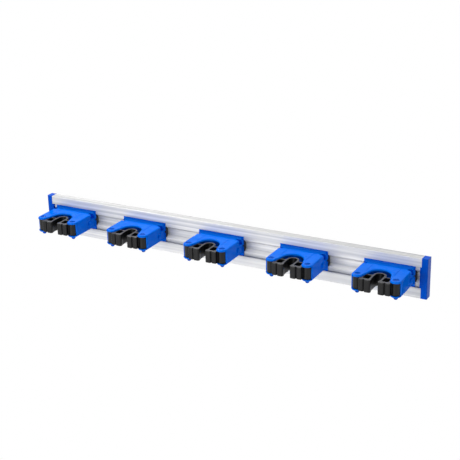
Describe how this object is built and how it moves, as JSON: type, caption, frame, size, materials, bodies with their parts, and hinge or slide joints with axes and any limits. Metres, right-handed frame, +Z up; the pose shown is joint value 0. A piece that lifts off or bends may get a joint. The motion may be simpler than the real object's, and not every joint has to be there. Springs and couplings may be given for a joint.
{
  "type": "wall mop holder rack",
  "caption": "Aluminium wall rail with sliding plastic holders whose paired rubber lobes grip the handles of mops and brooms; plastic caps close its ends.",
  "frame": {"origin": "on the wall plane, in the middle of the line of wall screws behind the holders", "axes": "+X along the rail to its right end as seen from the front, -Y out of the wall towards the holders' mouths, +Z up"},
  "size_m": [0.9, 0.1005, 0.0843],
  "materials": {
    "rail_aluminium": "anodised, satin, streaked along its length",
    "blue_plastic": "moulded, glossy",
    "grip_rubber": "matt to satin",
    "black_nylon": "matt"
  },
  "bodies": {
    "rail": {"rail": "rail_aluminium", "end_cap_left": "blue_plastic", "end_cap_right": "blue_plastic"},
    "holder_1": {"holder_body_1": "blue_plastic", "pin_left_1": "blue_plastic", "pin_right_1": "blue_plastic", "grip_strap_1": "grip_rubber", "slide_block_1": "black_nylon"},
    "jaw_left_1": {"grip_left_1": "grip_rubber"},
    "jaw_right_1": {"grip_right_1": "grip_rubber"},
    "holder_2": {"holder_body_2": "blue_plastic", "pin_left_2": "blue_plastic", "pin_right_2": "blue_plastic", "grip_strap_2": "grip_rubber", "slide_block_2": "black_nylon"},
    "jaw_left_2": {"grip_left_2": "grip_rubber"},
    "jaw_right_2": {"grip_right_2": "grip_rubber"},
    "holder_3": {"holder_body_3": "blue_plastic", "pin_left_3": "blue_plastic", "pin_right_3": "blue_plastic", "grip_strap_3": "grip_rubber", "slide_block_3": "black_nylon"},
    "jaw_left_3": {"grip_left_3": "grip_rubber"},
    "jaw_right_3": {"grip_right_3": "grip_rubber"},
    "holder_4": {"holder_body_4": "blue_plastic", "pin_left_4": "blue_plastic", "pin_right_4": "blue_plastic", "grip_strap_4": "grip_rubber", "slide_block_4": "black_nylon"},
    "jaw_left_4": {"grip_left_4": "grip_rubber"},
    "jaw_right_4": {"grip_right_4": "grip_rubber"},
    "holder_5": {"holder_body_5": "blue_plastic", "pin_left_5": "blue_plastic", "pin_right_5": "blue_plastic", "grip_strap_5": "grip_rubber", "slide_block_5": "black_nylon"},
    "jaw_left_5": {"grip_left_5": "grip_rubber"},
    "jaw_right_5": {"grip_right_5": "grip_rubber"}
  },
  "joints": [
    {"name": "holder_1_slide", "type": "slide", "parent": "rail", "child": "holder_1", "axis": [1, 0, 0], "range_m": [-0.0048, 0.0356]},
    {"name": "jaw_left_1_turn", "type": "hinge", "parent": "holder_1", "child": "jaw_left_1", "pos_m": [-0.41375, -0.0845, 0], "axis": [0, 0, 1], "range_deg": [-8, 14], "stiffness_Nm_per_rad": 2, "deforming": ["grip_strap_1"]},
    {"name": "jaw_right_1_turn", "type": "hinge", "parent": "holder_1", "child": "jaw_right_1", "pos_m": [-0.33535, -0.0845, 0], "axis": [0, 0, -1], "range_deg": [-8, 14], "stiffness_Nm_per_rad": 2, "deforming": ["grip_strap_1"]},
    {"name": "holder_2_slide", "type": "slide", "parent": "rail", "child": "holder_2", "axis": [1, 0, 0], "range_m": [-0.0356, 0.0401]},
    {"name": "jaw_left_2_turn", "type": "hinge", "parent": "holder_2", "child": "jaw_left_2", "pos_m": [-0.23228, -0.0845, 0], "axis": [0, 0, 1], "range_deg": [-8, 14], "stiffness_Nm_per_rad": 2, "deforming": ["grip_strap_2"]},
    {"name": "jaw_right_2_turn", "type": "hinge", "parent": "holder_2", "child": "jaw_right_2", "pos_m": [-0.15388, -0.0845, 0], "axis": [0, 0, -1], "range_deg": [-8, 14], "stiffness_Nm_per_rad": 2, "deforming": ["grip_strap_2"]},
    {"name": "holder_3_slide", "type": "slide", "parent": "rail", "child": "holder_3", "axis": [1, 0, 0], "range_m": [-0.0401, 0.0401]},
    {"name": "jaw_left_3_turn", "type": "hinge", "parent": "holder_3", "child": "jaw_left_3", "pos_m": [-0.0418, -0.0845, 0], "axis": [0, 0, 1], "range_deg": [-8, 14], "stiffness_Nm_per_rad": 2, "deforming": ["grip_strap_3"]},
    {"name": "jaw_right_3_turn", "type": "hinge", "parent": "holder_3", "child": "jaw_right_3", "pos_m": [0.0366, -0.0845, 0], "axis": [0, 0, -1], "range_deg": [-8, 14], "stiffness_Nm_per_rad": 2, "deforming": ["grip_strap_3"]},
    {"name": "holder_4_slide", "type": "slide", "parent": "rail", "child": "holder_4", "axis": [1, 0, 0], "range_m": [-0.0401, 0.0366]},
    {"name": "jaw_left_4_turn", "type": "hinge", "parent": "holder_4", "child": "jaw_left_4", "pos_m": [0.14868, -0.0845, 0], "axis": [0, 0, 1], "range_deg": [-8, 14], "stiffness_Nm_per_rad": 2, "deforming": ["grip_strap_4"]},
    {"name": "jaw_right_4_turn", "type": "hinge", "parent": "holder_4", "child": "jaw_right_4", "pos_m": [0.22707, -0.0845, 0], "axis": [0, 0, -1], "range_deg": [-8, 14], "stiffness_Nm_per_rad": 2, "deforming": ["grip_strap_4"]},
    {"name": "holder_5_slide", "type": "slide", "parent": "rail", "child": "holder_5", "axis": [1, 0, 0], "range_m": [-0.0366, 0.008]},
    {"name": "jaw_left_5_turn", "type": "hinge", "parent": "holder_5", "child": "jaw_left_5", "pos_m": [0.33215, -0.0845, 0], "axis": [0, 0, 1], "range_deg": [-8, 14], "stiffness_Nm_per_rad": 2, "deforming": ["grip_strap_5"]},
    {"name": "jaw_right_5_turn", "type": "hinge", "parent": "holder_5", "child": "jaw_right_5", "pos_m": [0.41055, -0.0845, 0], "axis": [0, 0, -1], "range_deg": [-8, 14], "stiffness_Nm_per_rad": 2, "deforming": ["grip_strap_5"]}
  ],
  "couplings": [
    {"joint": "jaw_right_1_turn", "follows": "jaw_left_1_turn", "ratio": 1},
    {"joint": "jaw_right_2_turn", "follows": "jaw_left_2_turn", "ratio": 1},
    {"joint": "jaw_right_3_turn", "follows": "jaw_left_3_turn", "ratio": 1},
    {"joint": "jaw_right_4_turn", "follows": "jaw_left_4_turn", "ratio": 1},
    {"joint": "jaw_right_5_turn", "follows": "jaw_left_5_turn", "ratio": 1}
  ]
}
